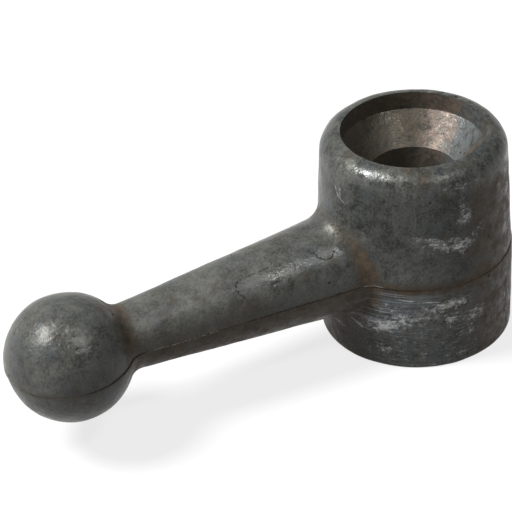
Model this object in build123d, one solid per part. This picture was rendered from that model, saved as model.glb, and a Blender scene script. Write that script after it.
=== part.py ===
"""One-piece ball crank handle: a bored hub, a tapered round arm and a ball grip, formed in a two-part die.

Frame: millimetres, +Z up along the hub's bore, origin on that axis at the hub's flat foot, arm along +X.
The casting is built the way the die makes it. Each die half gives its own side of the parting plane: the
upper one has a drafted hub wall and a broad arm root, the lower one a straight wall and a crisp root. The
lower half then sits a little out of line, so the joint line round the hub, arm and ball is a real step.
The recess, its seat and the bore are cut last, all on the hub's axis.
"""

import os
from math import pi, radians, tan

from build123d import *

# Hub
HUB_RADIUS = 20.0  # upper half, at the parting plane
HUB_HEIGHT = 45.0
HUB_DRAFT = 3.2  # degrees, upper half only
RIM_WIDTH = 5.45  # from the hub's radius in to the recess's mouth
LOWER_INSET = 0.1  # how much smaller the lower half's straight wall is
FOOT_EDGE = 0.6  # round at the foot's outer edge

# Parting plane
PARTING_HEIGHT = 19.5  # also the height of the arm's axis and the ball's centre
MISMATCH_X = -0.24  # the lower half's shift from the upper one
MISMATCH_Y = 0.15

# Arm and ball
ARM_LENGTH = 77.5  # from the hub's axis to the ball's centre
ARM_ROOT_RADIUS = 10.3  # where the arm meets the hub's wall
ARM_TIP_RADIUS = 5.6  # where its taper would reach the ball's centre
BALL_RADIUS = 12.5
UPPER_ROOT_BLEND = 4.5  # fillet between arm and hub, upper half
LOWER_ROOT_BLEND = 0.8  # and lower half
NECK_BLEND = 4.0  # fillet between arm and ball

# Recess, conical seat and bore
RECESS_DEPTH = 3.8
RECESS_DRAFT = 2.0  # degrees
SEAT_HALF_ANGLE = 42.2  # degrees from the bore's axis
BORE_RADIUS = 9.0
CUT_MARGIN = 1.0  # how far the cutting tool stands out past the hub's two ends

# Sizes that follow
LOWER_RADIUS = HUB_RADIUS - LOWER_INSET
TOP_RADIUS = HUB_RADIUS - (HUB_HEIGHT - PARTING_HEIGHT) * tan(radians(HUB_DRAFT))
MOUTH_RADIUS = HUB_RADIUS - RIM_WIDTH
SHOULDER_RADIUS = (TOP_RADIUS - MOUTH_RADIUS) * tan(pi / 4 + radians(HUB_DRAFT) / 2)
RECESS_FLOOR = HUB_HEIGHT - RECESS_DEPTH
RECESS_FLOOR_RADIUS = MOUTH_RADIUS - RECESS_DEPTH * tan(radians(RECESS_DRAFT))
SEAT_DEPTH = (RECESS_FLOOR_RADIUS - BORE_RADIUS) / tan(radians(SEAT_HALF_ANGLE))
SEAT_FLOOR = RECESS_FLOOR - SEAT_DEPTH
ARM_TAPER = (ARM_ROOT_RADIUS - ARM_TIP_RADIUS) / (ARM_LENGTH - HUB_RADIUS)
ARM_START_RADIUS = ARM_ROOT_RADIUS + HUB_RADIUS * ARM_TAPER  # the taper carried in to the hub's axis
SPAN = ARM_LENGTH + HUB_HEIGHT + BALL_RADIUS  # longer than any side of the part, for the half spaces

NODE = "crank_handle"


def turned(section: Sketch) -> Part:
    """Revolve a half section about the hub's axis, its start line placed on the side away from the arm."""
    body = revolve(Plane.XZ * section, Axis.Z)
    return Rot(0, 0, 180) * body


def upper_hub() -> Part:
    """The drafted hub of the upper die half, carried on below the parting plane, with its round shoulder."""
    flare = HUB_RADIUS + PARTING_HEIGHT * tan(radians(HUB_DRAFT))
    wall = [(0, 0), (flare, 0), (TOP_RADIUS, HUB_HEIGHT), (0, HUB_HEIGHT)]
    section = make_face(Polyline(*wall, close=True))
    corner = section.vertices().sort_by(Axis.Y)[-2:].sort_by(Axis.X)[-1]
    return turned(fillet(corner, SHOULDER_RADIUS))


def lower_hub() -> Part:
    """The straight hub of the lower die half, with the round at the foot's edge."""
    wall = [(0, 0), (LOWER_RADIUS, 0), (LOWER_RADIUS, HUB_HEIGHT), (0, HUB_HEIGHT)]
    section = make_face(Polyline(*wall, close=True))
    corner = section.vertices().sort_by(Axis.Y)[:2].sort_by(Axis.X)[-1]
    return turned(fillet(corner, FOOT_EDGE))


def arm_and_ball() -> Part:
    """The tapered round arm and its ball, revolved about the arm's axis from one blended section."""
    taper = [(0, 0), (0, ARM_START_RADIUS), (ARM_LENGTH, ARM_TIP_RADIUS), (ARM_LENGTH, 0)]
    arm = make_face(Polyline(*taper, close=True))
    ball = Pos(ARM_LENGTH, 0) * Circle(BALL_RADIUS)
    above_axis = Pos(0, SPAN / 2) * Rectangle(2 * SPAN, SPAN)
    section = (arm + ball) & above_axis
    on_ball = section.vertices().filter_by(lambda v: v.Y > 0 and 0 < v.X < ARM_LENGTH)
    section = fillet(on_ball, NECK_BLEND)
    return Pos(0, 0, PARTING_HEIGHT) * revolve(Plane.XZ * section, Axis.X)


def joined(hub: Part, root_blend: float) -> Part:
    """A hub with the arm and ball on it, blended where the arm meets the hub's wall."""
    body = hub + arm_and_ball()
    root = body.edges().filter_by(meets_wall)
    return fillet(root, root_blend)


def meets_wall(edge: Edge) -> bool:
    """Whether an edge belongs to the curve where the arm enters the hub's wall."""
    box = edge.bounding_box()
    near_wall = 0 < box.min.X and box.max.X < 1.2 * HUB_RADIUS
    inside_arm = box.max.Z - box.min.Z > ARM_ROOT_RADIUS / 2 and box.max.Z < HUB_HEIGHT
    return near_wall and inside_arm and edge.geom_type not in (GeomType.LINE, GeomType.CIRCLE)


def half_space(above: bool) -> Part:
    """A block that fills everything above the parting plane, or everything below it."""
    side = Align.MIN if above else Align.MAX
    block = Box(2 * SPAN, 2 * SPAN, SPAN, align=(Align.CENTER, Align.CENTER, side))
    return Pos(0, 0, PARTING_HEIGHT) * block


def bore_and_recess() -> Part:
    """The tool that cuts the recess, its conical seat and the through bore."""
    profile = [
        (0, -CUT_MARGIN),
        (BORE_RADIUS, -CUT_MARGIN),
        (BORE_RADIUS, SEAT_FLOOR),
        (RECESS_FLOOR_RADIUS, RECESS_FLOOR),
        (MOUTH_RADIUS, HUB_HEIGHT),
        (MOUTH_RADIUS, HUB_HEIGHT + CUT_MARGIN),
        (0, HUB_HEIGHT + CUT_MARGIN),
    ]
    return turned(make_face(Polyline(*profile, close=True)))


def crank_handle() -> Part:
    """The finished casting: both die halves joined at the parting plane and the bore cut through."""
    upper = joined(upper_hub(), UPPER_ROOT_BLEND) & half_space(above=True)
    lower = joined(lower_hub(), LOWER_ROOT_BLEND) & half_space(above=False)
    casting = upper + Pos(MISMATCH_X, MISMATCH_Y, 0) * lower
    return casting - bore_and_recess()


def main() -> None:
    """Build the casting and write it as one STEP file."""
    os.makedirs("parts", exist_ok=True)
    export_step(crank_handle(), f"parts/{NODE}.step")


if __name__ == "__main__":
    main()
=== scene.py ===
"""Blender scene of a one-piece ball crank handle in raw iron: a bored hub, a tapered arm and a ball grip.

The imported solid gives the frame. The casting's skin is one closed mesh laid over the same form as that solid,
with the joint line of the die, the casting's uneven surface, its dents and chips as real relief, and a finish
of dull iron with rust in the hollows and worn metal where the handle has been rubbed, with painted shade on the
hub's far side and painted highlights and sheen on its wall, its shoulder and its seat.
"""

import logging
import math
from dataclasses import dataclass, field
from enum import Enum

import bpy
import numpy as np
from mathutils import Matrix, Vector, noise


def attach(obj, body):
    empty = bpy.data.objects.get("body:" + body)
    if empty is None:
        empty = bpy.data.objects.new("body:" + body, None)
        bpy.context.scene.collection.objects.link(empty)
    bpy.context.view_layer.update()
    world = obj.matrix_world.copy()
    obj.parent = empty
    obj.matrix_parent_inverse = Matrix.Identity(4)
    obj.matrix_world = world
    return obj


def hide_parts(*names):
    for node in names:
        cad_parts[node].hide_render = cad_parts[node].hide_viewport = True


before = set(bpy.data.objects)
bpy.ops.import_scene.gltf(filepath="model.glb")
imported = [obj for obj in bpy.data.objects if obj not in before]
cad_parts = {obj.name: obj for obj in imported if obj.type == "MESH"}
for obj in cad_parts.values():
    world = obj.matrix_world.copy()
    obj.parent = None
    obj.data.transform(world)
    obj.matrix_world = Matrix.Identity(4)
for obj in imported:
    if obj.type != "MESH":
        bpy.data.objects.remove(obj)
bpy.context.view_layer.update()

MM = 0.001
TINY = 1e-6
LOG = logging.getLogger("crank_handle")


class Side(Enum):
    """Which half of the die a surface comes from."""

    UPPER = 1.0
    LOWER = -1.0


# ---------------------------------------------------------------------------------------------------------
# Form: the casting's outer surface as distances, in millimetres
# ---------------------------------------------------------------------------------------------------------


@dataclass(frozen=True)
class HubForm:
    """Outer form of the hub in one die half: a body of revolution about Z.

    Heights are measured away from the parting plane, so both halves share the same formulas.
    """

    radius: float
    draft: float
    length: float
    edge: float

    def wall(self, height: np.ndarray) -> np.ndarray:
        """Radius of the drafted wall at a height from the parting plane."""
        return self.radius - height * math.tan(math.radians(self.draft))

    def corner(self) -> tuple[float, float]:
        """Centre of the round between wall and end face, as (radius, height)."""
        height = self.length - self.edge
        return self.wall(height) - self.edge / math.cos(math.radians(self.draft)), height

    def distance(self, radial: np.ndarray, height: np.ndarray) -> np.ndarray:
        """Signed distance to the hub.

        Args:
            radial: Distances from the hub's axis.
            height: Heights from the parting plane.

        Returns:
            Distances, negative inside.
        """
        slant = math.radians(self.draft)
        centre_r, centre_h = self.corner()
        q_r, q_h = radial - centre_r, height - centre_h
        to_wall = q_r * math.cos(slant) + q_h * math.sin(slant)
        along_wall = q_r / math.cos(slant)
        along_end = q_h - along_wall * math.sin(slant)
        on_round = (along_wall > 0) & (along_end > 0)
        flat = np.maximum(to_wall, q_h)
        return np.where(on_round, np.hypot(q_r, q_h), flat) - self.edge

    def profile(self, first: float, step: float) -> np.ndarray:
        """Half section from the parting plane up the wall and round the edge, as (radius, height) rows.

        Args:
            first: Height of the first row above the parting plane.
            step: Spacing of the rows away from it.

        Returns:
            The rows.
        """
        slant = math.radians(self.draft)
        centre_r, centre_h = self.corner()
        wall_end = centre_h + self.edge * math.sin(slant)
        heights = graded(wall_end, first, step)
        wall = np.stack([self.wall(heights), heights], axis=1)
        turns = max(3, round(self.edge * (math.pi / 2 - slant) / step))
        angles = np.linspace(slant, math.pi / 2, turns + 1)[1:]
        bend = np.stack([np.cos(angles), np.sin(angles)], axis=1) * self.edge + (centre_r, centre_h)
        return np.concatenate([wall, bend])


@dataclass(frozen=True)
class GripForm:
    """Form of the arm and its ball: a body of revolution about the arm's axis."""

    length: float
    root_radius: float
    tip_radius: float
    root_at: float
    ball_radius: float
    neck_blend: float

    def taper(self) -> float:
        """Loss of radius for each millimetre along the arm."""
        return (self.root_radius - self.tip_radius) / (self.length - self.root_at)

    def arm_radius(self, along: np.ndarray) -> np.ndarray:
        """Radius of the tapered arm at a distance from the hub's axis."""
        return self.root_radius - (along - self.root_at) * self.taper()

    def tilt(self) -> float:
        """Angle of the taper, in radians."""
        return math.atan(self.taper())

    def neck_centre(self) -> tuple[float, float]:
        """Centre of the blend between arm and ball.

        Returns:
            Its distance along the arm, and out from the arm's axis.
        """
        reach = self.ball_radius + self.neck_blend
        slope = self.taper()
        lift = self.arm_radius(0.0) + self.neck_blend / math.cos(self.tilt())
        a = 1 + slope**2
        b = -2 * (self.length + lift * slope)
        c = self.length**2 + lift**2 - reach**2
        along = (-b - math.sqrt(b * b - 4 * a * c)) / (2 * a)
        return along, lift - slope * along

    def distance(self, along: np.ndarray, out: np.ndarray) -> np.ndarray:
        """Signed distance to the arm and ball.

        Args:
            along: Distances from the hub's axis, along the arm.
            out: Distances from the arm's axis.

        Returns:
            Distances, negative inside.
        """
        tilt = self.tilt()
        to_arm = (out - self.arm_radius(along)) * math.cos(tilt)
        to_arm = np.maximum(to_arm, np.maximum(-along, along - self.length))
        to_ball = np.hypot(along - self.length, out) - self.ball_radius
        centre_x, centre_o = self.neck_centre()
        arm_n = (math.sin(tilt), math.cos(tilt))
        reach = self.ball_radius + self.neck_blend
        ball_n = ((centre_x - self.length) / reach, centre_o / reach)
        v_x, v_o = centre_x - along, centre_o - out
        cross = arm_n[0] * ball_n[1] - arm_n[1] * ball_n[0]
        part_arm = (v_x * ball_n[1] - v_o * ball_n[0]) / cross
        part_ball = (arm_n[0] * v_o - arm_n[1] * v_x) / cross
        in_neck = (part_arm > 0) & (part_ball > 0)
        blend = self.neck_blend - np.hypot(v_x, v_o)
        return np.where(in_neck, blend, np.minimum(to_arm, to_ball))

    def profile(self, step: float) -> np.ndarray:
        """Half section from the arm's root to the ball's pole, as (along, out) rows without the pole.

        Args:
            step: Spacing of the rows.

        Returns:
            The rows.
        """
        tilt = self.tilt()
        centre_x, centre_o = self.neck_centre()
        arm_end = centre_x - self.neck_blend * math.sin(tilt)
        count = round((arm_end - self.root_at) / step)
        line_x = np.linspace(self.root_at, arm_end, count + 1)
        line = np.stack([line_x, self.arm_radius(line_x)], axis=1)
        to_ball = math.atan2(-centre_o, self.length - centre_x)
        neck_turn = np.linspace(-math.pi / 2 - tilt, to_ball, max(4, round(self.neck_blend / step)))[1:]
        neck = np.stack([np.cos(neck_turn), np.sin(neck_turn)], axis=1) * self.neck_blend
        neck = neck + (centre_x, centre_o)
        start = math.pi + to_ball
        count = round(self.ball_radius * start / step)
        ball_turn = np.linspace(start, 0, count + 1)[1:-1]
        ball = np.stack([np.cos(ball_turn), np.sin(ball_turn)], axis=1) * self.ball_radius + (self.length, 0)
        return np.concatenate([line, neck, ball])


@dataclass(frozen=True)
class DieHalf:
    """One half of the casting: its hub, the shared grip, the blend at the root and its place."""

    side: Side
    hub: HubForm
    grip: GripForm
    root_blend: float
    parting: float
    shift: tuple[float, float]

    def placed(self, x: np.ndarray, y: np.ndarray, height: np.ndarray) -> np.ndarray:
        """Rows of x, y, z in the casting's own place, from places local to this half."""
        x, y, height = np.broadcast_arrays(x, y, height)
        up = self.parting + self.side.value * height
        return np.stack([x + self.shift[0], y + self.shift[1], up], axis=-1)

    def local(self, points: np.ndarray) -> tuple[np.ndarray, np.ndarray, np.ndarray]:
        """A point's x and y in this half's own place, and its height from the parting plane."""
        height = (points[:, 2] - self.parting) * self.side.value
        return points[:, 0] - self.shift[0], points[:, 1] - self.shift[1], height

    def distances(self, points: np.ndarray) -> tuple[np.ndarray, np.ndarray]:
        """Signed distances of points to the hub alone and to the grip alone."""
        x, y, height = self.local(points)
        return self.hub.distance(np.hypot(x, y), height), self.grip.distance(x, np.hypot(y, height))

    def distance(self, points: np.ndarray) -> np.ndarray:
        """Signed distance to the whole half, with the rolled blend where the arm leaves the hub.

        Args:
            points: Rows of x, y, z.

        Returns:
            Distances, negative inside.
        """
        x, y, height = self.local(points)
        radial, out = np.hypot(x, y), np.hypot(y, height)
        to_hub, to_grip = self.hub.distance(radial, height), self.grip.distance(x, out)
        slant, tilt = math.radians(self.hub.draft), self.grip.tilt()
        safe_r, safe_o = np.maximum(radial, 0.1), np.maximum(out, 0.1)
        share = math.cos(slant) * x / safe_r * math.sin(tilt)
        share += math.cos(slant) * y / safe_r * math.cos(tilt) * y / safe_o
        share += math.sin(slant) * math.cos(tilt) * height / safe_o
        share = np.clip(share, -0.9, 0.9)
        u, w = to_hub - self.root_blend, to_grip - self.root_blend
        rest = 1 - share**2
        in_blend = (u < share * w) & (w < share * u)
        rolled = self.root_blend - np.sqrt((u * u + w * w - 2 * share * u * w) / rest)
        return np.where(in_blend, rolled, np.minimum(to_hub, to_grip))

    def gradient(self, points: np.ndarray, reach: float = 0.02) -> np.ndarray:
        """Outward direction of the distance, by central differences.

        Args:
            points: Rows of x, y, z.
            reach: How far to either side the distance is taken.

        Returns:
            Slopes along x, y and z, one row for each point.
        """
        rows = []
        for axis in range(3):
            offset = np.zeros(3)
            offset[axis] = reach
            rows.append(self.distance(points + offset) - self.distance(points - offset))
        return np.stack(rows, axis=1) / (2 * reach)

    def settle(self, points: np.ndarray, level: np.ndarray, rounds: int = 8) -> np.ndarray:
        """Moves points on to the surface.

        Args:
            points: Rows of x, y, z near the surface.
            level: Marks the points that keep their height.
            rounds: Number of steps.

        Returns:
            The moved points.
        """
        for _ in range(rounds):
            slope = self.gradient(points)
            slope[level, 2] = 0
            size = np.maximum((slope**2).sum(axis=1), 0.05)
            points = points - slope * (self.distance(points) / size)[:, None]
        return points


def graded(length: float, first: float, step: float, growth: float = 1.35) -> np.ndarray:
    """Places from 0 to a length, close together at first and then evenly spaced.

    Args:
        length: Where they end.
        first: The first gap.
        step: The gap that is aimed at.
        growth: How much longer each gap is than the one before, until then.

    Returns:
        The places.
    """
    places = [0.0]
    gap = first
    while gap < step and places[-1] + gap < length:
        places.append(places[-1] + gap)
        gap *= growth
    count = max(1, round((length - places[-1]) / step))
    return np.concatenate([places, np.linspace(places[-1], length, count + 1)[1:]])


# ---------------------------------------------------------------------------------------------------------
# Mesh: rows of points woven into one closed skin
# ---------------------------------------------------------------------------------------------------------


class Net:
    """Points and faces of one mesh while it is being made."""

    def __init__(self) -> None:
        """Starts with nothing in it."""
        self.blocks: list[np.ndarray] = []
        self.count = 0
        self.faces: list[list[int]] = []

    def add(self, points: np.ndarray) -> np.ndarray:
        """Adds points.

        Args:
            points: Rows of x, y, z.

        Returns:
            Their numbers, in the shape that the rows came in.
        """
        flat = points.reshape(-1, 3)
        self.blocks.append(flat)
        numbers = np.arange(self.count, self.count + len(flat))
        self.count += len(flat)
        return numbers.reshape(points.shape[:-1])

    def weave(self, rows: np.ndarray, closed: bool = False, skip: np.ndarray | None = None) -> None:
        """Adds the faces between neighbouring rows and columns of point numbers.

        Args:
            rows: Point numbers, one row after another.
            closed: Whether the last column joins the first.
            skip: Marks the faces that are left out.
        """
        if closed:
            rows = np.concatenate([rows, rows[:, :1]], axis=1)
        quads = np.stack([rows[:-1, :-1], rows[:-1, 1:], rows[1:, 1:], rows[1:, :-1]], axis=-1)
        keep = np.ones(quads.shape[:2], dtype=bool) if skip is None else ~skip
        self.faces.extend(quads[keep].tolist())

    def fan(self, ring: np.ndarray, tip: int) -> None:
        """Adds the triangles from an open row of points to one point."""
        self.faces.extend([int(a), int(b), int(tip)] for a, b in zip(ring[:-1], ring[1:]))

    def points(self) -> np.ndarray:
        """All points so far."""
        return np.concatenate(self.blocks)


def rough(points: np.ndarray, size: float, seed: float) -> np.ndarray:
    """Smooth noise between about -1 and 1 at points.

    Args:
        points: Rows of x, y, z in millimetres.
        size: Size of its lumps in millimetres.
        seed: Moves to another part of the noise.

    Returns:
        The noise at each point.
    """
    place = points / size + seed
    return np.array([noise.noise(Vector(p)) for p in place.tolist()])


def bell(gap: np.ndarray) -> np.ndarray:
    """A smooth hump that is 1 at no gap and near 0 at twice the unit gap."""
    return np.exp(-(gap**2))


def marked(count: int, *numbers: np.ndarray) -> np.ndarray:
    """Marks numbered places in a row.

    Args:
        count: Length of the row.
        numbers: The places to mark.

    Returns:
        Truth values.
    """
    marks = np.zeros(count, dtype=bool)
    for places in numbers:
        marks[places] = True
    return marks


@dataclass(frozen=True)
class Lump:
    """One layer of the casting's uneven surface: how far it stands out, and the size of its waves."""

    height: float
    size: float
    seed: float

    def at(self, points: np.ndarray) -> np.ndarray:
        """Outward offsets at points."""
        return self.height * rough(points, self.size, self.seed)


@dataclass(frozen=True)
class Dent:
    """A small round hollow at a place on the surface."""

    place: tuple[float, float, float]
    size: float
    depth: float

    def at(self, points: np.ndarray) -> np.ndarray:
        """Depths at points."""
        gap = np.linalg.norm(points - np.array(self.place), axis=1) / self.size
        return self.depth * np.clip(1 - gap**2, 0, 1) ** 2


@dataclass(frozen=True)
class RubOrHighlight:
    """A bright place on the hub's wall, most of them worn metal and a few painted highlights: its angle from
    the arm in degrees, its height, reach and strength.
    """

    angle: float
    height: float
    wide: float
    tall: float
    strength: float

    def at(self, angle: np.ndarray, height: np.ndarray, radius: float) -> np.ndarray:
        """How strongly the place shows.

        Args:
            angle: Angles round the hub from the arm, in degrees.
            height: Heights above the foot.
            radius: The wall's radius.

        Returns:
            Strengths.
        """
        aside = np.radians((angle - self.angle + 180) % 360 - 180) * radius
        return self.strength * bell(np.hypot(aside / self.wide, (height - self.height) / self.tall))


@dataclass(frozen=True)
class JointGroove:
    """The uneven groove along the die's joint line: deeper on the hub, and faint towards the ball."""

    hub_depth: float = 0.12
    arm_depth: float = 0.075
    variation: float = 0.10
    half_width: float = 0.45
    faint_from: float = 62.0
    faintest_at: float = 70.0
    faint_share: float = 0.25
    waves: tuple[Lump, ...] = (Lump(1.0, 7.0, 5.9), Lump(0.6, 2.2, 29.0))

    def depth(self, points: np.ndarray, height: np.ndarray, hub_end: float) -> np.ndarray:
        """How deep the groove is.

        Args:
            points: Rows of x, y, z.
            height: Heights above the parting plane.
            hub_end: Distance along the arm up to which the groove is the hub's.

        Returns:
            Depths.
        """
        along = points[:, 0]
        uneven = sum(wave.at(points * (1, 1, 0)) for wave in self.waves)
        depth = np.where(along < hub_end, self.hub_depth, self.arm_depth) - self.variation * uneven
        left = (self.faintest_at - along) / (self.faintest_at - self.faint_from)
        close = np.clip(1 - np.abs(height) / self.half_width, 0, 1)
        return depth * np.clip(left, self.faint_share, 1.0) * close**2


@dataclass(frozen=True)
class RustSpread:
    """Where rust gathers: the root's hollow, the ball's neck, the joint line and the arm's underside."""

    hollow_reach: float = 2.4
    neck_reach: float = 3.2
    neck_offset: float = 2.0
    neck_share: float = 0.7
    seam_reach: float = 1.6
    hub_seam_share: float = 0.85
    arm_seam_share: float = 0.5
    under_share: float = 0.66
    under_fade: float = 6.0
    under_end_gap: float = 9.0
    recess_share: float = 0.45
    bore_share: float = 0.3


@dataclass
class CrankHandle:
    """The casting: sizes in millimetres, and what makes its mesh and its masks."""

    hub_radius: float = 20.0
    hub_height: float = 45.0
    hub_draft: float = 3.2
    lower_inset: float = 0.1
    foot_edge: float = 0.5
    mouth_radius: float = 14.55
    parting: float = 19.5
    mismatch: tuple[float, float] = (-0.24, 0.15)
    arm_length: float = 77.5
    arm_root_radius: float = 10.3
    arm_tip_radius: float = 5.6
    ball_radius: float = 12.5
    upper_blend: float = 4.5
    lower_blend: float = 0.8
    neck_blend: float = 4.0
    recess_depth: float = 3.8
    recess_floor_radius: float = 14.42
    bore_radius: float = 9.0
    seat_floor: float = 35.23
    wall_share: float = 0.8
    recess_margin: float = 0.1
    columns: int = 256
    root_columns: int = 32
    root_reach: float = 16.0
    root_fade: float = 12.0
    step: float = 0.45
    seam_step: float = 0.07
    bore_step: float = 0.9
    foot_step: float = 1.08
    patch_rings: int = 12
    patch_grading: float = 0.9
    crisp_angle: float = 40.0
    groove: JointGroove = JointGroove()
    spread: RustSpread = RustSpread()
    lumps: tuple[Lump, ...] = (Lump(0.10, 11.0, 3.1), Lump(0.07, 4.5, 17.7), Lump(0.03, 1.7, 41.3))
    rubs_and_highlights: tuple[RubOrHighlight, ...] = field(default_factory=tuple)
    dents: tuple[Dent, ...] = field(default_factory=tuple)

    def grip(self) -> GripForm:
        """The arm and ball.

        Returns:
            Their form, which both halves share.
        """
        return GripForm(
            self.arm_length,
            self.arm_root_radius,
            self.arm_tip_radius,
            self.hub_radius,
            self.ball_radius,
            self.neck_blend,
        )

    def upper(self) -> DieHalf:
        """The upper half, whose shoulder runs from the wall to the recess's mouth.

        Returns:
            The half.
        """
        slant = math.radians(self.hub_draft)
        length = self.hub_height - self.parting
        top = self.hub_radius - length * math.tan(slant)
        shoulder = (top - self.mouth_radius) * math.tan(math.pi / 4 + slant / 2)
        hub = HubForm(self.hub_radius, self.hub_draft, length, shoulder)
        return DieHalf(Side.UPPER, hub, self.grip(), self.upper_blend, self.parting, (0.0, 0.0))

    def lower(self) -> DieHalf:
        """The lower half, a little out of line with the upper one."""
        hub = HubForm(self.hub_radius - self.lower_inset, 0.0, self.parting, self.foot_edge)
        return DieHalf(Side.LOWER, hub, self.grip(), self.lower_blend, self.parting, self.mismatch)

    def wall_end(self) -> float:
        """Distance from the hub's axis past which a place is taken as on its wall or beyond it."""
        return self.wall_share * self.hub_radius

    def turns(self, columns: np.ndarray) -> np.ndarray:
        """Angles of the mesh's columns round the hub."""
        return columns * 2 * math.pi / self.columns

    def wall(self, net: Net, half: DieHalf, profile: np.ndarray, top: int) -> np.ndarray:
        """Adds one half's hub wall, with a gap where the arm's root goes.

        Args:
            net: The mesh being made.
            half: Which half.
            profile: The hub's half section, as (radius, height) rows.
            top: Row of the profile where the gap ends.

        Returns:
            Point numbers, one row for each row of the profile.
        """
        column = np.arange(self.columns)
        angles = self.turns(column)
        radii, heights = profile[:, :1], profile[:, 1:]
        hub = net.add(half.placed(radii * np.cos(angles), radii * np.sin(angles), heights))
        beside = (column < self.root_columns) | (column >= self.columns - self.root_columns)
        skip = np.zeros((len(profile) - 1, self.columns), dtype=bool)
        skip[:top, beside] = True
        net.weave(hub, closed=True, skip=skip)
        return hub

    def gap_edge(self, top: int) -> tuple[np.ndarray, np.ndarray]:
        """Goes round the gap in the wall, from the parting line on one side to that on the other.

        Args:
            top: Row of the profile where the gap ends.

        Returns:
            Rows and columns of the wall's points.
        """
        spread = self.root_columns
        places = [(i, spread) for i in range(top)]
        places += [(top, j) for j in range(spread, -spread, -1)]
        places += [(i, -spread) for i in range(top, -1, -1)]
        row, column = np.array(places).T
        return row, column

    def root_rings(
        self, half: DieHalf, turn: np.ndarray, edge_angle: np.ndarray, edge_height: np.ndarray
    ) -> np.ndarray:
        """Rings between the gap's edge in the wall and the arm's root.

        Args:
            half: Which half.
            turn: Angles round the arm, one for each point of a ring.
            edge_angle: Angles round the hub of the gap's edge.
            edge_height: Heights of the gap's edge from the parting plane.

        Returns:
            Places, one row for each ring.
        """
        inner_angle = np.arcsin(self.arm_root_radius * np.cos(turn) / half.hub.radius)
        inner_height = self.arm_root_radius * np.sin(turn)
        shares = np.linspace(0, 1, self.patch_rings + 1)[1:, None] ** self.patch_grading
        angle = edge_angle + (inner_angle - edge_angle) * shares
        height = edge_height + (inner_height - edge_height) * shares
        radius = half.hub.wall(height)
        return half.placed(radius * np.cos(angle), radius * np.sin(angle), height)

    def arm_rings(self, half: DieHalf, turn: np.ndarray) -> np.ndarray:
        """Rings along the arm and round the ball, the first of them bent to the hub's wall.

        Args:
            half: Which half.
            turn: Angles round the arm, one for each point of a ring.

        Returns:
            Places, one row for each ring.
        """
        section = half.grip.profile(self.step)[1:]
        side = self.arm_root_radius * np.cos(turn)
        bent = np.sqrt(half.hub.radius**2 - side**2) - half.hub.radius
        fade = np.clip(1 - (section[:, :1] - self.hub_radius) / self.root_fade, 0, 1)
        along = section[:, :1] + bent * fade
        out = np.where(fade > 0, half.grip.arm_radius(along), section[:, 1:])
        return half.placed(along, out * np.cos(turn), out * np.sin(turn))

    def shell(self, net: Net, half: DieHalf) -> tuple[np.ndarray, np.ndarray]:
        """Adds one half's outer skin.

        Args:
            net: The mesh being made.
            half: Which half.

        Returns:
            Point numbers round the parting line, and round the end of the hub.
        """
        profile = half.hub.profile(self.seam_step, self.step)
        top = int(np.searchsorted(profile[:, 1], self.root_reach))
        hub = self.wall(net, half, profile, top)
        row, column = self.gap_edge(top)
        edge = hub[row, column % self.columns]
        edge_angle, edge_height = self.turns(column), profile[row, 1]
        turn = np.arctan2(edge_height, profile[row, 0] * np.sin(edge_angle))
        rings = net.add(self.root_rings(half, turn, edge_angle, edge_height))
        grid = np.concatenate([edge[None, :], rings, net.add(self.arm_rings(half, turn))])
        net.weave(grid)
        tip = np.array([self.arm_length + self.ball_radius])
        pole = net.add(half.placed(tip, np.zeros(1), np.zeros(1)))[0]
        net.fan(grid[-1], pole)
        back = hub[0, self.root_columns : self.columns - self.root_columns + 1]
        seam = np.concatenate([back, grid[1:, -1], [pole], grid[:0:-1, 0]])
        return seam, hub[-1]

    def inside(self, net: Net, rim: np.ndarray, foot: np.ndarray) -> np.ndarray:
        """Adds the recess, the seat, the bore and the foot's face, between the rim and the foot's edge.

        Args:
            net: The mesh being made.
            rim: Point numbers round the recess's mouth.
            foot: Point numbers round the foot's outer edge.

        Returns:
            Numbers of the added points.
        """
        corners = [
            (self.mouth_radius, self.hub_height),
            (self.recess_floor_radius, self.hub_height - self.recess_depth),
            (self.bore_radius, self.seat_floor),
            (self.bore_radius, 0.0),
            (self.hub_radius - self.lower_inset - self.foot_edge, 0.0),
        ]
        steps = (self.step, self.step, self.bore_step, self.foot_step)
        on_foot = (0.0, 0.0, 0.0, 1.0)
        rows: list[tuple[float, float, float]] = []
        for start, end, step, foot_share in zip(corners[:-1], corners[1:], steps, on_foot):
            count = round(math.dist(start, end) / step)
            for share in np.linspace(0, 1, count + 1)[1:]:
                radius = start[0] + (end[0] - start[0]) * share
                height = start[1] + (end[1] - start[1]) * share
                rows.append((radius, height, share * foot_share))
        radius, height, moved = np.array(rows[:-1]).T[:, :, None]
        angles = self.turns(np.arange(self.columns))
        x = radius * np.cos(angles) + moved * self.mismatch[0]
        y = radius * np.sin(angles) + moved * self.mismatch[1]
        body = net.add(np.stack([x, y, np.broadcast_to(height, x.shape)], axis=-1))
        net.weave(np.concatenate([rim[None, :], body, foot[None, :]]), closed=True)
        return body

    def relief(self, points: np.ndarray) -> np.ndarray:
        """How far the skin stands out from its true form.

        Args:
            points: Rows of x, y, z.

        Returns:
            Outward offsets.
        """
        height = points[:, 2] - self.parting
        offset = sum(lump.at(points) for lump in self.lumps)
        offset = offset - self.groove.depth(points, height, self.wall_end())
        for dent in self.dents:
            offset -= dent.at(points)
        return offset

    def lay(
        self, half: DieHalf, points: np.ndarray, level: np.ndarray, locked: np.ndarray
    ) -> tuple[np.ndarray, np.ndarray]:
        """Settles one half's points on its true form, and lifts them to the uneven skin.

        Args:
            half: Which half.
            points: Its rows of x, y, z.
            level: Marks the points that keep their height.
            locked: Marks the points that stay where they are.

        Returns:
            The points on the true form, and those on the skin.
        """
        true = half.settle(points, level)
        true[locked] = points[locked]
        slope = half.gradient(true)
        outward = slope / np.maximum(np.linalg.norm(slope, axis=1), TINY)[:, None]
        return true, true + outward * (self.relief(true) * ~locked)[:, None]

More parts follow.
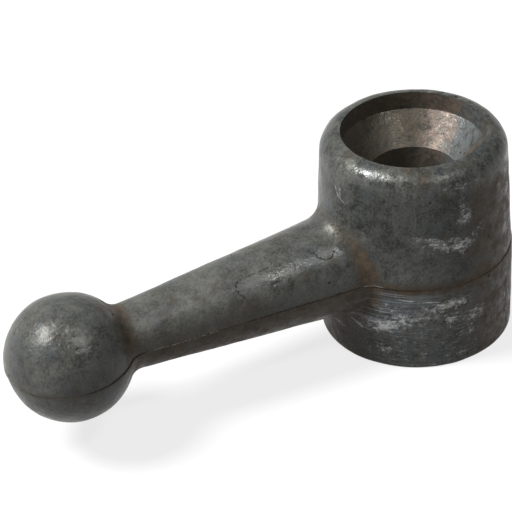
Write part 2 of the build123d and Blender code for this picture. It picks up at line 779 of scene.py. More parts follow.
    def rust(self, half: DieHalf, points: np.ndarray) -> np.ndarray:
        """How much rust the outer skin of one half holds.

        Args:
            half: Which half.
            points: Rows of x, y, z on its true form.

        Returns:
            Shares from 0 to 1.
        """
        spread = self.spread
        x = half.local(points)[0]
        to_hub, to_grip = half.distances(points)
        hollow = bell((np.maximum(to_hub, 0) + np.maximum(to_grip, 0)) / spread.hollow_reach)
        neck_at = self.arm_length - self.ball_radius + spread.neck_offset
        neck = spread.neck_share * bell((x - neck_at) / spread.neck_reach)
        seam = np.where(x < self.wall_end(), spread.hub_seam_share, spread.arm_seam_share)
        seam = seam * bell((points[:, 2] - self.parting) / spread.seam_reach)
        comes_in = np.clip((x - self.hub_radius) / spread.under_fade + 1, 0, 1)
        goes_out = np.clip((self.arm_length - spread.under_end_gap - x) / spread.under_fade, 0, 1)
        under = spread.under_share * comes_in * goes_out * float(half.side is Side.LOWER)
        return np.clip(np.maximum.reduce([hollow, neck, seam, under]), 0, 1)

    def inner_rust(self, points: np.ndarray) -> np.ndarray:
        """How much rust the points of the recess, the seat and the bore hold."""
        recess_floor = self.hub_height - self.recess_depth + self.recess_margin
        return np.where(points[:, 2] > recess_floor, self.spread.recess_share, self.spread.bore_share)

    def wear_and_highlight(self, points: np.ndarray) -> np.ndarray:
        """How strongly points of the hub's wall are rubbed bright, with painted highlights among them.

        Args:
            points: Rows of x, y, z.

        Returns:
            Strengths.
        """
        angle = np.degrees(np.arctan2(points[:, 1], points[:, 0]))
        on_wall = np.hypot(points[:, 0], points[:, 1]) > self.wall_end()
        return on_wall * sum(rub_or_highlight.at(angle, points[:, 2], self.hub_radius) for rub_or_highlight in self.rubs_and_highlights)

    def skin(self, net: Net, points: np.ndarray, masks: dict[str, np.ndarray]) -> bpy.types.Object:
        """Makes an object of the woven points, without those that no face uses.

        Args:
            net: The woven faces.
            points: Their rows of x, y, z.
            masks: Values at the points, by name.

        Returns:
            The new object, in metres.
        """
        used = marked(len(points), np.concatenate([np.ravel(face) for face in net.faces]))
        number = np.cumsum(used) - 1
        faces = [[int(number[i]) for i in face] for face in net.faces]
        mesh = bpy.data.meshes.new("casting_skin")
        mesh.from_pydata((points[used] * MM).tolist(), [], faces)
        for name, values in masks.items():
            layer = mesh.attributes.new(name, "FLOAT", "POINT")
            layer.data.foreach_set("value", values[used].astype(np.float32))
        mesh.validate()
        mesh.shade_smooth()
        mesh.set_sharp_from_angle(angle=math.radians(self.crisp_angle))
        skin = bpy.data.objects.new("casting_skin", mesh)
        bpy.context.scene.collection.objects.link(skin)
        LOG.info("casting_skin: %d points, %d faces", len(mesh.vertices), len(mesh.polygons))
        return skin

    def build(self) -> bpy.types.Object:
        """Makes the casting's skin as one closed mesh, with its masks for the finish.

        Returns:
            The new object, in metres.
        """
        net = Net()
        seams, ends, blocks = [], [], []
        for half in (self.upper(), self.lower()):
            begin = net.count
            seam, end = self.shell(net, half)
            seams.append(seam)
            ends.append(end)
            blocks.append((half, slice(begin, net.count)))
        net.weave(np.stack(seams), closed=True)
        inner = self.inside(net, ends[0], ends[1]).ravel()
        points = net.points()
        level, locked = marked(len(points), *seams), marked(len(points), *ends)
        rust = np.zeros(len(points))
        for half, block in blocks:
            true, points[block] = self.lay(half, points[block], level[block], locked[block])
            rust[block] = self.rust(half, true)
        rust[inner] = self.inner_rust(points[inner])
        masks = {"rust": rust, "wear_and_highlight": self.wear_and_highlight(points), "cut": marked(len(points), inner)}
        return self.skin(net, points, masks)


# ---------------------------------------------------------------------------------------------------------
# Finish: shader sums as plain expressions
# ---------------------------------------------------------------------------------------------------------


class Bench:
    """The node tree of one material or world, and the one way that a node is added to it."""

    def __init__(self, tree: bpy.types.NodeTree) -> None:
        """Empties the tree and keeps it."""
        self.tree = tree
        tree.nodes.clear()

    def node(self, kind: str, settings: dict | None = None, inputs: dict | None = None) -> bpy.types.Node:
        """Adds a node.

        Args:
            kind: The node's type.
            settings: Its properties by name, set first.
            inputs: Values, signals or sockets for its inputs, by name or number.

        Returns:
            The new node.
        """
        node = self.tree.nodes.new(kind)
        for name, value in (settings or {}).items():
            setattr(node, name, value)
        for name, value in (inputs or {}).items():
            self.feed(node.inputs[name], value)
        return node

    def feed(self, socket: bpy.types.NodeSocket, value: object) -> None:
        """Links a signal or a socket to an input, or sets the input's own value.

        Args:
            socket: The input.
            value: What it gets.
        """
        if isinstance(value, Signal):
            value = value.socket
        if isinstance(value, bpy.types.NodeSocket):
            self.tree.links.new(value, socket)
        else:
            socket.default_value = value

    def signal(
        self, kind: str, settings: dict | None = None, inputs: dict | None = None, out: int | str = 0
    ) -> "Signal":
        """Adds a node and returns one of its outputs as a signal."""
        return Signal(self, self.node(kind, settings, inputs).outputs[out])

    def attribute(self, name: str) -> "Signal":
        """The value that the mesh holds under a name."""
        return self.signal("ShaderNodeAttribute", {"attribute_name": name}, None, "Fac")

    def blend(self, share: "Signal", low: object, high: object) -> "Signal":
        """Mixes two colours by a share from 0 to 1."""
        inputs = {0: share, 6: as_colour(low), 7: as_colour(high)}
        return self.signal("ShaderNodeMix", {"data_type": "RGBA"}, inputs, 2)

    def vector(self, x: object, y: object, z: object) -> "Signal":
        """Joins three numbers or signals to a vector."""
        return self.signal("ShaderNodeCombineXYZ", None, {0: x, 1: y, 2: z})

    def mottle(self, place: "Signal", size: float, detail: float = 3.0, harsh: float = 0.55) -> "Signal":
        """Smooth noise about one half.

        Args:
            place: Where it is worked out.
            size: Size of its lumps, in the place's own units.
            detail: How many finer layers it has.
            harsh: How strong the finer layers are.

        Returns:
            The noise.
        """
        inputs = {"Vector": place, "Scale": 1.0 / size, "Detail": detail, "Roughness": harsh}
        return self.signal("ShaderNodeTexNoise", None, inputs, "Fac")

    def cells(self, place: "Signal", size: float) -> "Signal":
        """Distance from scattered points, in shares of their spacing."""
        inputs = {"Vector": place, "Scale": 1.0 / size}
        return self.signal("ShaderNodeTexVoronoi", None, inputs, "Distance")


class Signal:
    """A shader socket that takes part in sums: each operator adds its own Math node."""

    def __init__(self, bench: Bench, socket: bpy.types.NodeSocket) -> None:
        """Wraps a socket."""
        self.bench = bench
        self.socket = socket

    def math(self, operation: str, *others: object, clamp: bool = False) -> "Signal":
        """Adds a Math node that has this signal first."""
        inputs = dict(enumerate((self, *others)))
        return self.bench.signal("ShaderNodeMath", {"operation": operation, "use_clamp": clamp}, inputs)

    def __add__(self, other: object) -> "Signal":
        """Sum."""
        return self.math("ADD", other)

    __radd__ = __add__

    def __mul__(self, other: object) -> "Signal":
        """Product."""
        return self.math("MULTIPLY", other)

    __rmul__ = __mul__

    def __sub__(self, other: object) -> "Signal":
        """Difference."""
        return self.math("SUBTRACT", other)

    def __rsub__(self, other: object) -> "Signal":
        """Difference, with this signal taken away."""
        return self.bench.signal("ShaderNodeMath", {"operation": "SUBTRACT"}, {0: other, 1: self})

    def __truediv__(self, other: object) -> "Signal":
        """Quotient."""
        return self.math("DIVIDE", other)

    def __abs__(self) -> "Signal":
        """Size without its sign."""
        return self.math("ABSOLUTE")

    def least(self, other: object) -> "Signal":
        """The smaller of two."""
        return self.math("MINIMUM", other)

    def most(self, other: object) -> "Signal":
        """The larger of two."""
        return self.math("MAXIMUM", other)

    def clamp(self) -> "Signal":
        """Held between 0 and 1."""
        return self.math("ADD", 0.0, clamp=True)

    def rise(self, low: float, high: float) -> "Signal":
        """A smooth step from 0 at low to 1 at high.

        Args:
            low: Where it is 0.
            high: Where it is 1, below low if the step falls.

        Returns:
            Values from 0 to 1.
        """
        falls = low > high
        inputs = {0: self, 1: min(low, high), 2: max(low, high), 3: float(falls), 4: float(not falls)}
        return self.bench.signal("ShaderNodeMapRange", {"interpolation_type": "SMOOTHSTEP"}, inputs)


def as_colour(value: object) -> object:
    """A colour with its alpha, or a signal as it is."""
    return (*value, 1.0) if isinstance(value, tuple) else value


@dataclass(frozen=True)
class Trace:
    """A thin mark along a chain of points on an unrolled surface, in millimetres."""

    points: tuple[tuple[float, float], ...]
    width: float
    core: float = 0.3

    def mask(self, across: Signal, along: Signal) -> Signal:
        """How strongly the mark shows.

        Args:
            across: First unrolled place.
            along: Second unrolled place.

        Returns:
            One on the chain and zero away from it.
        """
        nearest: Signal | None = None
        for (start_x, start_y), (end_x, end_y) in zip(self.points[:-1], self.points[1:]):
            run_x, run_y = end_x - start_x, end_y - start_y
            from_x, from_y = across - start_x, along - start_y
            share = ((from_x * run_x + from_y * run_y) / (run_x**2 + run_y**2)).clamp()
            gap_x = from_x - share * run_x
            gap_y = from_y - share * run_y
            gap = gap_x * gap_x + gap_y * gap_y
            nearest = gap if nearest is None else nearest.least(gap)
        return nearest.math("SQRT").rise(self.width, self.core * self.width)


def strongest(masks: list[Signal]) -> Signal:
    """Joins several masks.

    Args:
        masks: At least one mask.

    Returns:
        The strongest of them at each place.
    """
    total = masks[0]
    for mask in masks[1:]:
        total = total.most(mask)
    return total


@dataclass(frozen=True)
class Stretch:
    """A soft-edged stretch: it comes in between two places and goes out between two more, in millimetres."""

    comes_in: tuple[float, float]
    goes_out: tuple[float, float]

    def mask(self, along: Signal) -> Signal:
        """How strongly it shows, from 0 to 1."""
        return along.rise(*self.comes_in) * along.rise(*self.goes_out)


@dataclass(frozen=True)
class Patch:
    """A soft-edged patch about a middle, with its full and its outer half width, in millimetres."""

    middle: float
    full: float
    outer: float

    def mask(self, along: Signal) -> Signal:
        """How strongly it shows, from 0 to 1."""
        return abs(along - self.middle).rise(self.outer, self.full)


@dataclass(frozen=True)
class Ground:
    """What the finish is worked out from: places on the casting in millimetres, its masks and its noises.

    turn runs round the hub's wall from the arm, and over runs round the arm from its near side.
    """

    place: Signal
    x: Signal
    y: Signal
    z: Signal
    turn: Signal
    over: Signal
    on_hub: Signal
    below: Signal
    rust: Signal
    wear_and_highlight: Signal
    cut: Signal
    broad: Signal
    cloud: Signal
    grain: Signal
    tint: Signal
    smear: Signal
    streak: Signal
    drag: Signal
    lines: Signal


@dataclass(frozen=True)
class IronSkin:
    """Finish of the raw casting: dull scaled iron, mottled, with rust, dark pits and worn metal, and painted
    shade, painted highlights and a painted sheen on the hub.
    """

    parting: float
    hub_radius: float
    laps: tuple[Trace, ...]
    scratches_and_highlight: tuple[Trace, ...]
    seam_lines: tuple[Trace, ...]
    arm_radius: float = 8.95
    scale_dark: tuple[float, float, float] = (0.026, 0.027, 0.025)
    scale_grey: tuple[float, float, float] = (0.150, 0.152, 0.136)
    scale_blue: tuple[float, float, float] = (0.062, 0.072, 0.079)
    rust_brown: tuple[float, float, float] = (0.047, 0.034, 0.023)
    rust_tan: tuple[float, float, float] = (0.104, 0.071, 0.044)
    # Blue-grey of the brushed lower wall: real brushing with a painted sheen of the key lamp.
    brushed_painted_sheen: tuple[float, float, float] = (0.120, 0.134, 0.148)
    seat_brown: tuple[float, float, float] = (0.098, 0.082, 0.062)
    # Lighter pink of the seat where the key lamp's highlight falls: the seat's tint with a painted highlight.
    seat_pink_and_highlight: tuple[float, float, float] = (0.185, 0.142, 0.118)
    seat_blue: tuple[float, float, float] = (0.130, 0.146, 0.150)
    bare_and_highlight: tuple[float, float, float] = (0.44, 0.445, 0.435)
    pit: tuple[float, float, float] = (0.014, 0.012, 0.010)
    specular: float = 0.17
    base_roughness: float = 0.34
    least_roughness: float = 0.2
    base_metallic: float = 0.16
    shoulder_heights: tuple[float, float] = (38.5, 42.0)
    # Painted shade: the hub's wall on the side turned away from the key lamp, below the shoulder, is darkened
    # with the rust colour.
    painted_shade_wall: Patch = Patch(44.0, 7.0, 16.0)
    painted_shade_wall_top: tuple[float, float] = (42.0, 39.0)
    brushed_wall: Patch = Patch(15.0, 6.0, 13.0)
    brushed_heights: tuple[float, float] = (5.0, 11.0)
    pink_highlight_seat: Patch = Patch(-52.0, 3.0, 9.0)
    blue_seat: tuple[float, float] = (52.0, 61.0)
    root_top: Stretch = Stretch((20.0, 23.0), (40.0, 31.0))
    dull_arm: Stretch = Stretch((37.0, 46.0), (68.0, 62.0))
    flushed_arm: Stretch = Stretch((24.0, 46.0), (69.0, 64.0))
    flushed_side: Patch = Patch(0.0, 1.0, 8.0)

    def ground(self, bench: Bench) -> Ground:
        """Adds the nodes that the finish is worked out from.

        Args:
            bench: The material's nodes.

        Returns:
            Their signals.
        """
        metres = bench.signal("ShaderNodeTexCoord", None, None, "Object")
        place = bench.signal("ShaderNodeVectorMath", {"operation": "SCALE"}, {0: metres, "Scale": 1 / MM})
        apart = bench.node("ShaderNodeSeparateXYZ", None, {0: place})
        x, y, z = (Signal(bench, out) for out in apart.outputs)
        turn = y.math("ARCTAN2", x) * self.hub_radius
        over = (z - self.parting).math("ARCTAN2", y) * self.arm_radius
        masks = {name: bench.attribute(name) for name in ("rust", "wear_and_highlight", "cut")}
        return Ground(
            place=place,
            x=x,
            y=y,
            z=z,
            turn=turn,
            over=over,
            on_hub=x.rise(self.hub_radius + 1.5, self.hub_radius - 0.5),
            below=z.rise(self.parting - 0.2, self.parting - 0.7),
            broad=bench.mottle(place, 8.0, 3.0, 0.5),
            cloud=bench.mottle(place, 2.8, 6.0, 0.68),
            grain=bench.mottle(place, 0.5, 4.0, 0.7),
            tint=bench.mottle(bench.vector(x + 31.0, y, z), 6.0, 4.0, 0.6),
            smear=bench.mottle(bench.vector(x, y + 57.0, z), 1.4, 5.0, 0.72),
            streak=bench.mottle(bench.vector(turn * 0.42, z * 1.4, 0.0), 0.8, 5.0, 0.7),
            drag=bench.mottle(bench.vector(turn * 1.3, z * 0.12, 9.0), 1.1, 4.0, 0.65),
            lines=bench.mottle(bench.vector(turn * 0.06, z * 6.0, 4.0), 1.3, 3.0, 0.55),
            **masks,
        )

    def shoulder(self, ground: Ground) -> Signal:
        """Where the hub's shoulder is."""
        return ground.z.rise(*self.shoulder_heights) * ground.on_hub * (1 - ground.cut)

    def brushed(self, ground: Ground) -> Signal:
        """Where the lower wall has been brushed, beside the arm; its colour there also carries a painted sheen.
        """
        wall = self.brushed_wall.mask(ground.turn) * ground.z.rise(*self.brushed_heights)
        return wall * ground.below * ground.on_hub

    def scale(self, bench: Bench, ground: Ground) -> Signal:
        """Colour of the scaled iron and of the turned surfaces, before rust and wear, with painted highlights
        on the hub's shoulder and on the seat, and a painted sheen on the brushed lower wall.

        Args:
            bench: The material's nodes.
            ground: Its signals.

        Returns:
            A colour.
        """
        cloud = ground.cloud.rise(0.34, 0.66)
        tone = ground.broad.rise(0.35, 0.65) * 0.26 + cloud * 0.36 + ground.grain.rise(0.32, 0.68) * 0.38
        tone = (tone - 0.5) * (0.84 + ground.on_hub * 0.16) + 0.48
        drawn = (ground.drag - 0.5) * (1 - ground.below) * 0.5 + (ground.streak - 0.5) * ground.below * 1.2
        # The shoulder term lightens the colour along the hub's shoulder: a painted highlight.
        tone = tone + (drawn - 0.17) * ground.on_hub + self.shoulder(ground) * 0.22
        colour = bench.blend(tone.clamp(), self.scale_dark, self.scale_grey)
        colour = bench.blend(ground.tint.rise(0.47, 0.68) * 0.5, colour, self.scale_blue)
        # lighter blue-grey lines on the brushed lower wall: real brushing, partly a painted sheen where the key
        # lamp's highlight falls
        combed = self.brushed(ground) * ground.lines.rise(0.40, 0.56) * 0.75
        colour = bench.blend(combed, colour, self.brushed_painted_sheen)
        # lighter pink patch on the seat where the key lamp's highlight falls: partly the seat's tint, partly a
        # painted highlight
        pink_and_highlight = self.pink_highlight_seat.mask(ground.turn) * ground.cloud.rise(0.38, 0.56)
        seat = bench.blend(abs(ground.turn).rise(*self.blue_seat), self.seat_brown, self.seat_blue)
        seat = bench.blend(pink_and_highlight, seat, self.seat_pink_and_highlight)
        return bench.blend(ground.cut * (0.15 + ground.smear.rise(0.34, 0.58) * 0.75), colour, seat)

    def rust_and_painted_shade(self, bench: Bench, ground: Ground) -> Signal:
        """How strongly rust, and the painted shade on the hub's far side, cover the metal.

        Args:
            bench: The material's nodes.
            ground: Its signals.

        Returns:
            Shares from 0 to 1.
        """
        stray_place = bench.vector(ground.x, ground.y, ground.z + 83.0)
        stray = bench.mottle(stray_place, 5.0, 5.0, 0.65).rise(0.54, 0.70) * 0.5
        # painted shade: rust-coloured darkening of the hub's wall on the side turned away from the key lamp
        painted_shade_wall = self.painted_shade_wall.mask(ground.turn) * ground.z.rise(*self.painted_shade_wall_top) * ground.on_hub
        painted_shade_wall = painted_shade_wall * ground.cloud.rise(0.28, 0.58) * 0.92
        flush = self.flushed_arm.mask(ground.x) * self.flushed_side.mask(ground.over)
        flush = flush * ground.cloud.rise(0.30, 0.62) * 0.5
        gathered = (ground.rust * 1.15 + ground.cloud * 0.7 - 0.46).rise(0.10, 0.85) * 0.88
        return strongest([gathered, stray, painted_shade_wall, flush])

    def holes(self, bench: Bench, ground: Ground) -> Signal:
        """Where the small dark pits are.

        Args:
            bench: The material's nodes.
            ground: Its signals.

        Returns:
            Shares from 0 to 1.
        """
        shake, drift = ground.grain - 0.5, ground.smear - 0.5
        ragged = bench.vector(ground.x + shake * 0.7, ground.y + drift * 0.9, ground.z - shake * 0.7)
        large = bench.cells(ragged, 2.3).rise(0.17, 0.06)
        large = large * bench.mottle(ground.place, 4.0, 2.0).rise(0.53, 0.64)
        small = bench.cells(ragged, 0.9).rise(0.22, 0.06) * ground.smear.rise(0.55, 0.66) * 0.6
        return large.most(small)

    def folds(self, ground: Ground) -> Signal:
        """Where the metal met itself in folds on the arm.

        Args:
            ground: The material's signals.

        Returns:
            Shares from 0 to 1.
        """
        along = ground.x + (ground.smear - 0.5) * 1.1 + (ground.cloud - 0.5) * 1.6
        around = ground.over + (ground.broad - 0.5) * 1.6 + (ground.grain - 0.5) * 0.5
        folds = strongest([trace.mask(along, around) for trace in self.laps])
        return folds * (1 - ground.on_hub) * ground.smear.rise(0.36, 0.60)

    def scored_and_highlight(self, ground: Ground) -> Signal:
        """Where the hub's wall is scratched, with a painted highlight smear beside the arm.

        Args:
            ground: The material's signals.

        Returns:
            Shares from 0 to 1.
        """
        around = ground.turn + (ground.grain - 0.5) * 0.25
        marks = strongest([trace.mask(around, ground.z) for trace in self.scratches_and_highlight])
        return marks * ground.on_hub * ground.streak.rise(0.38, 0.56) * 0.7

    def bright(self, bench: Bench, ground: Ground, scored_and_highlight: Signal) -> Signal:
        """How much bare metal shows: rubbed places, scratches, the pale joint line and flecks, with painted
        highlights among the rubbed places and scratches.

        Args:
            bench: The material's nodes.
            ground: Its signals.
            scored_and_highlight: Where the wall is scratched, with the painted highlight smear.

        Returns:
            Shares from 0 to 1.
        """
        around = ground.over + (ground.grain - 0.5) * 0.3
        pale = strongest([trace.mask(ground.x, around) for trace in self.seam_lines])
        pale = pale * (1 - ground.on_hub) * ground.grain.rise(0.40, 0.55)
        uneven = (ground.streak - 0.5) * 2.0 + (ground.smear - 0.5) * 2.0 + (ground.grain - 0.5) * 1.6
        # rubbed places, among them painted highlights on the shoulder and on the upper and lower wall
        rubbed_and_highlight = (ground.wear_and_highlight * 0.8 + uneven - 0.34).rise(0.08, 1.05) * ground.wear_and_highlight.rise(0.02, 0.40)
        ruled = ground.lines.rise(0.56, 0.68) * self.brushed(ground) * 0.45
        combed = (ground.streak + (ground.grain - 0.5) * 0.4).rise(0.56, 0.72)
        combed = combed * ground.below * ground.on_hub * ground.tint.rise(0.40, 0.58) * 0.5
        fleck_place = bench.vector(ground.x + 11.0, ground.y + 7.0, ground.z)
        flecks = bench.mottle(fleck_place, 0.7, 5.0, 0.8).rise(0.63, 0.76) * 0.4
        return strongest([rubbed_and_highlight, scored_and_highlight, pale * 0.7, combed, ruled, flecks])

    def height(self, bench: Bench, ground: Ground) -> Signal:
        """Fine unevenness of the skin, in millimetres, without pits and folds.

        Args:
            bench: The material's nodes.
            ground: Its signals.

        Returns:
            Heights.
        """
        lump = bench.mottle(bench.vector(ground.x - 19.0, ground.y, ground.z), 2.0, 3.0, 0.5)
        dimple = bench.mottle(bench.vector(ground.x, ground.y - 23.0, ground.z), 0.6, 1.0, 0.5)
        return lump * 0.16 + dimple * 0.045 + ground.cloud * 0.04

    def build(self) -> bpy.types.Material:
        """Makes the material.

        Returns:
            The material.
        """
        material = bpy.data.materials.new("raw_iron")
        material.use_nodes = True
        bench = Bench(material.node_tree)
        ground = self.ground(bench)
        rust_and_painted_shade, holes = self.rust_and_painted_shade(bench, ground), self.holes(bench, ground)
        folds, scored_and_highlight = self.folds(ground), self.scored_and_highlight(ground)
        bright = self.bright(bench, ground, scored_and_highlight) * (1 - holes)
        dark = holes.most(folds * 0.5)

        rust = bench.blend(ground.smear.rise(0.40, 0.74), self.rust_brown, self.rust_tan)
        # rust colour, which also carries the painted shade on the hub's far side
        colour = bench.blend(rust_and_painted_shade, self.scale(bench, ground), rust)
        # bare metal, which also carries the painted highlights
        colour = bench.blend(bright * 0.72, colour, self.bare_and_highlight)
        colour = bench.blend(dark, colour, self.pit)

        smooth = [self.shoulder(ground), self.root_top.mask(ground.x) * 0.55, self.brushed(ground)]
        polish = strongest(smooth) * ground.smear.rise(0.34, 0.60) * (1 - rust_and_painted_shade)
        roughness = self.base_roughness + (ground.cloud - 0.5) * 0.7 + (ground.grain - 0.5) * 0.5
        roughness = roughness + rust_and_painted_shade * 0.2 + dark * 0.3 + ground.cut * 0.05 - polish * 0.03
        roughness = roughness + self.dull_arm.mask(ground.x) * 0.07
        metallic = self.base_metallic - rust_and_painted_shade * 0.14 - dark * 0.16 + bright * 0.4
        metallic = metallic + ground.cut * 0.1 + polish * 0.31
        height = self.height(bench, ground) - holes * 0.14 - folds * 0.16 - scored_and_highlight * 0.02
        normal = bench.signal("ShaderNodeBump", None, {"Distance": MM, "Height": height}, "Normal")
        inputs = {
            "Base Color": colour,
            "Roughness": roughness.most(self.least_roughness).clamp(),
            "Metallic": metallic.clamp(),
            "Normal": normal,
            "Specular IOR Level": self.specular,
        }
        shader = bench.signal("ShaderNodeBsdfPrincipled", None, inputs)
        bench.node("ShaderNodeOutputMaterial", None, {"Surface": shader})
        return material


# ---------------------------------------------------------------------------------------------------------
# Studio
# ---------------------------------------------------------------------------------------------------------


@dataclass(frozen=True)
class View:
    """The camera: where it stands round its aim, in degrees and metres, and its lens in millimetres."""

    azimuth: float = 154.403
    elevation: float = 34.829
    roll: float = -3.866
    distance: float = 0.35938
    aim: tuple[float, float, float] = (0.036398, 0.0, 0.027722)
    lens: float = 128.27
    sensor: float = 36.0
    nearest: float = 0.01

    def axes(self) -> Matrix:
        """The camera's own directions.

        Returns:
            Its right, up and back as columns.
        """
        around, above, turn = (math.radians(a) for a in (self.azimuth, self.elevation, self.roll))
        out = math.cos(above)
        back = Vector((math.sin(around) * out, -math.cos(around) * out, math.sin(above)))
        level = Vector((0, 0, 1)).cross(back).normalized()
        upright = back.cross(level)
        right = level * math.cos(turn) + upright * math.sin(turn)
        up = upright * math.cos(turn) - level * math.sin(turn)
        return Matrix((right, up, back)).transposed()

    def build(self) -> None:
        """Places the camera and makes it the scene's."""
        lens = bpy.data.cameras.new("camera")
        lens.lens = self.lens
        lens.sensor_width = self.sensor
        lens.clip_start = self.nearest
        camera = bpy.data.objects.new("camera", lens)
        axes = self.axes()
        place = Vector(self.aim) + axes.col[2] * self.distance
        camera.matrix_world = Matrix.Translation(place) @ axes.to_4x4()
        bpy.context.scene.collection.objects.link(camera)
        bpy.context.scene.camera = camera


@dataclass(frozen=True)
class Lamp:
    """A round softbox: which way it hangs from the object, its distance and width in metres, its power."""

    name: str
    toward: tuple[float, float, float]
    distance: float
    width: float
    power: float

    def build(self, aim: Vector) -> None:
        """Hangs the lamp and turns it to the object.

        Args:
            aim: The place on the object that it faces.
        """
        light = bpy.data.lights.new(self.name, "AREA")
        light.shape = "DISK"
        light.size = self.width
        light.energy = self.power
        direction = Vector(self.toward).normalized()
        lamp = bpy.data.objects.new(self.name, light)
        place = Matrix.Translation(aim + direction * self.distance)
        lamp.matrix_world = place @ direction.to_track_quat("Z", "Y").to_matrix().to_4x4()
        bpy.context.scene.collection.objects.link(lamp)


@dataclass(frozen=True)
class Studio:
    """Pale floor and low backdrop, soft lamps and a dim room that is brighter on one side."""

    lamps: tuple[Lamp, ...]
    aim: tuple[float, float, float] = (0.03, 0.0, 0.025)
    floor_side: float = 40.0
    floor_tone: float = 0.19
    floor_lift: float = 0.77
    room_dim: float = 0.056
    room_bright: float = 0.40
    bright_side: tuple[float, float, float] = (0.70, -0.62, 0.35)
    bright_turn: tuple[float, float] = (-0.1, 1.0)
    backdrop_tone: float = 0.80
    backdrop_top: tuple[float, float] = (0.26, 0.15)

    def seen_ray(self, bench: Bench) -> Signal:
        """Tells the rays that look at the background, straight, in a mirror or through glass.

        Args:
            bench: Nodes of a material or a world.

        Returns:
            One for those rays, and zero for the rest.
        """
        path = bench.node("ShaderNodeLightPath")
        names = ("Is Camera Ray", "Is Glossy Ray", "Is Transmission Ray")
        return strongest([Signal(bench, path.outputs[name]) for name in names])

    def paper(self) -> bpy.types.Material:
        """Makes the pale paper, lifted to white where it is seen, mirrored or seen through something.

        Returns:
            The material.
        """
        material = bpy.data.materials.new("pale_paper")
        material.use_nodes = True
        bench = Bench(material.node_tree)
        paper = bench.signal("ShaderNodeBsdfDiffuse", None, {"Color": as_colour((self.floor_tone,) * 3)})
        glow = bench.signal("ShaderNodeEmission", None, {"Strength": self.seen_ray(bench) * self.floor_lift})
        both = bench.signal("ShaderNodeAddShader", None, {0: paper, 1: glow})
        bench.node("ShaderNodeOutputMaterial", None, {"Surface": both})
        return material

    def floor(self) -> bpy.types.Object:
        """Makes the floor at the height that the object stands on.

        Returns:
            The floor.
        """
        half = self.floor_side / 2
        corners = [(-half, -half, 0), (half, -half, 0), (half, half, 0), (-half, half, 0)]
        mesh = bpy.data.meshes.new("floor")
        mesh.from_pydata(corners, [], [(0, 1, 2, 3)])
        mesh.materials.append(self.paper())
        floor = bpy.data.objects.new("floor", mesh)
        bpy.context.scene.collection.objects.link(floor)
        return floor

    def room(self) -> bpy.types.World:
        """Makes the room's own soft light, and the low backdrop that is seen beyond the floor.

        Returns:
            The world.
        """
        world = bpy.data.worlds.new("room")
        world.use_nodes = True
        bench = Bench(world.node_tree)
        way = bench.signal("ShaderNodeTexCoord", None, None, "Generated")
        side = tuple(Vector(self.bright_side).normalized())
        inputs = {0: way, 1: side}
        facing = bench.signal("ShaderNodeVectorMath", {"operation": "DOT_PRODUCT"}, inputs, "Value")
        strength = self.room_dim + facing.rise(*self.bright_turn) * (self.room_bright - self.room_dim)
        upward = Signal(bench, bench.node("ShaderNodeSeparateXYZ", None, {0: way}).outputs["Z"])
        backdrop = self.seen_ray(bench) * upward.rise(*self.backdrop_top)
        strength = strength + backdrop * (self.backdrop_tone - strength)
        inputs = {"Color": as_colour((1.0,) * 3), "Strength": strength}
        light = bench.signal("ShaderNodeBackground", None, inputs)
        bench.node("ShaderNodeOutputWorld", None, {"Surface": light})
        return world

    def build(self) -> None:
        """Sets up floor, room and lamps."""
        self.floor()
        bpy.context.scene.world = self.room()
        for lamp in self.lamps:
            lamp.build(Vector(self.aim))
            LOG.info("lamp %s: %.1f W", lamp.name, lamp.power)


# ---------------------------------------------------------------------------------------------------------
# Marks of this casting, in millimetres and degrees
# ---------------------------------------------------------------------------------------------------------


def hub_rubs_and_highlights() -> tuple[RubOrHighlight, ...]:
    """Worn places on the hub's wall, and a few painted highlights: angle from the arm, height, half width, half
    height and strength.

    Returns:
        The places.
    """
    return (
        RubOrHighlight(63, 31.2, 2.4, 0.9, 0.8),
        RubOrHighlight(72, 30.0, 3.2, 1.8, 0.85),
        RubOrHighlight(82, 28.6, 3.4, 2.2, 0.85),
        RubOrHighlight(92, 28.8, 2.2, 1.8, 0.75),
        RubOrHighlight(100, 31.5, 1.4, 1.8, 0.7),
        RubOrHighlight(88, 37.4, 1.8, 2.0, 0.9),
        RubOrHighlight(92, 35.0, 1.8, 1.8, 0.9),
        RubOrHighlight(86, 33.8, 2.2, 0.7, 0.7),
        RubOrHighlight(34, 9.4, 3.4, 1.4, 0.8),
        RubOrHighlight(45, 10.4, 4.0, 1.4, 0.75),
        RubOrHighlight(56, 12.4, 3.5, 1.0, 0.6),
        RubOrHighlight(66, 13.8, 3.5, 1.2, 0.6),
        RubOrHighlight(77, 15.3, 3.4, 1.2, 0.9),
        RubOrHighlight(86, 15.6, 2.6, 1.2, 0.9),
        RubOrHighlight(80, 11.4, 2.6, 1.4, 0.8),
        RubOrHighlight(96, 11.0, 3.0, 2.0, 0.9),
        RubOrHighlight(91, 7.0, 2.6, 1.4, 0.7),
        RubOrHighlight(41, 4.4, 3.2, 0.8, 1.1),
        RubOrHighlight(88, 2.5, 2.4, 0.6, 0.9),
        # Broad wear on the lower wall, made lighter still as a painted highlight where the key lamp's highlight
        # falls.
        RubOrHighlight(44, 14.5, 8.0, 4.0, 0.50),
        RubOrHighlight(70, 8.0, 14.0, 5.0, 0.26),
        # A painted highlight on the shoulder a quarter turn from the arm, laid as a pale worn patch.
        RubOrHighlight(86, 41.8, 4.4, 1.2, 0.7),
        # A painted highlight: a pale smear on the upper wall beside the arm.
        RubOrHighlight(8, 38.2, 0.9, 2.8, 0.9),
        RubOrHighlight(205, 30.0, 3.4, 1.6, 0.7),
        RubOrHighlight(250, 12.0, 4.0, 1.2, 0.8),
        RubOrHighlight(290, 36.0, 1.8, 2.4, 0.6),
        RubOrHighlight(160, 8.0, 2.6, 1.2, 0.7),
    )


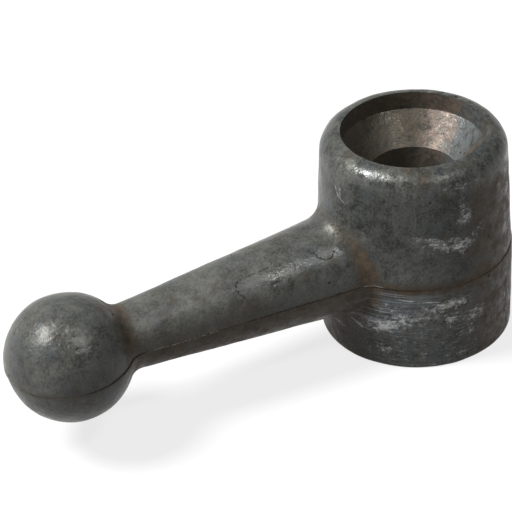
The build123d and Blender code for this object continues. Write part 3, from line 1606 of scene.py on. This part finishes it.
def pits_and_chips() -> tuple[Dent, ...]:
    """Pits in the arm, the ball and the parting line, and chips along the recess's mouth.

    Returns:
        The hollows.
    """
    return (
        Dent((53.4, 4.0, 25.8), 0.9, 0.22),
        Dent((36.1, 7.0, 25.1), 0.6, 0.18),
        Dent((30.5, 3.2, 28.4), 0.7, 0.16),
        Dent((23.5, 10.1, 19.6), 0.9, 0.28),
        Dent((79.4, 5.7, 30.5), 0.7, 0.22),
        Dent((77.7, 6.9, 29.9), 0.8, 0.22),
        Dent((78.4, 9.3, 27.8), 0.7, 0.20),
        Dent((77.7, -1.2, 31.9), 1.0, 0.22),
        Dent((87.8, 7.0, 20.3), 0.6, 0.20),
        Dent((87.0, 7.8, 21.4), 0.7, 0.18),
        Dent((79.6, 8.2, 28.7), 0.6, 0.20),
        Dent((-9.9, -11.3, 44.9), 1.3, 0.30),
        Dent((-12.2, -8.6, 44.9), 1.0, 0.26),
        Dent((-14.0, -5.6, 44.9), 1.1, 0.28),
        Dent((-14.9, -2.2, 44.9), 0.9, 0.22),
        Dent((-6.2, -13.6, 44.9), 0.8, 0.20),
    )


def arm_laps() -> tuple[Trace, ...]:
    """Folds in the arm's skin, where the metal met itself: along the arm, and round it from the near side.

    Returns:
        The long fold and the short loop by the root.
    """
    low_end = ((42.6, 4.9), (43.5, 6.1), (43.8, 7.5), (43.1, 8.6), (41.9, 9.3))
    fold = (*low_end, (38.8, 9.7), (36.1, 9.6), (35.1, 10.1), (34.6, 11.4), (33.2, 12.1))
    loop = ((26.7, 9.9), (25.9, 8.0), (24.8, 7.1), (23.2, 7.2), (22.3, 8.0))
    return Trace(fold, 0.24), Trace(loop, 0.20)


def wall_scratches_and_highlight() -> tuple[Trace, ...]:
    """Bright scratches on the hub's wall, the first of them a painted highlight: round the wall from the arm,
    and up it.

    Returns:
        The scratches.
    """
    return (
        # painted highlight: a pale smear on the upper wall beside the arm, drawn like a scratch
        Trace(((1.4, 39.0), (2.4, 37.2), (4.9, 36.0)), 0.30),
        Trace(((0.7, 6.3), (4.2, 6.1)), 0.28),
        Trace(((6.3, 9.4), (9.1, 8.5)), 0.28),
        Trace(((11.2, 10.7), (16.4, 11.6)), 0.26),
        Trace(((16.4, 13.1), (23.4, 12.7)), 0.28),
        Trace(((17.4, 17.2), (25.5, 16.4)), 0.24),
        Trace(((10.7, 19.7), (12.6, 19.8), (14.6, 19.6)), 0.24),
    )


def seam_lines() -> tuple[Trace, ...]:
    """Pale stretch of the arm's joint line: along the arm, and round it from the near side."""
    return (Trace(((49.6, 0.15), (57.0, 0.05), (63.5, 0.15)), 0.22),)


def lamps() -> tuple[Lamp, ...]:
    """A key lamp high over the ball's end, and a small fill high over the hub's near side.

    Returns:
        The lamps.
    """
    return (
        Lamp("key", (0.544, -0.19, 0.817), 0.9, 0.31, 12.6),
        Lamp("fill", (-0.177, 0.496, 0.85), 0.9, 0.15, 2.1),
    )


def main() -> None:
    """Builds the handle, the studio and the camera."""
    logging.basicConfig(level=logging.INFO, format="%(message)s")
    bpy.context.scene.view_settings.view_transform = "Standard"
    handle = CrankHandle(rubs_and_highlights=hub_rubs_and_highlights(), dents=pits_and_chips())
    skin = handle.build()
    finish = IronSkin(handle.parting, handle.hub_radius, arm_laps(), wall_scratches_and_highlight(), seam_lines())
    skin.data.materials.append(finish.build())
    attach(skin, "root")
    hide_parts("crank_handle")
    Studio(lamps()).build()
    View().build()


if __name__ == "__main__":
    main()
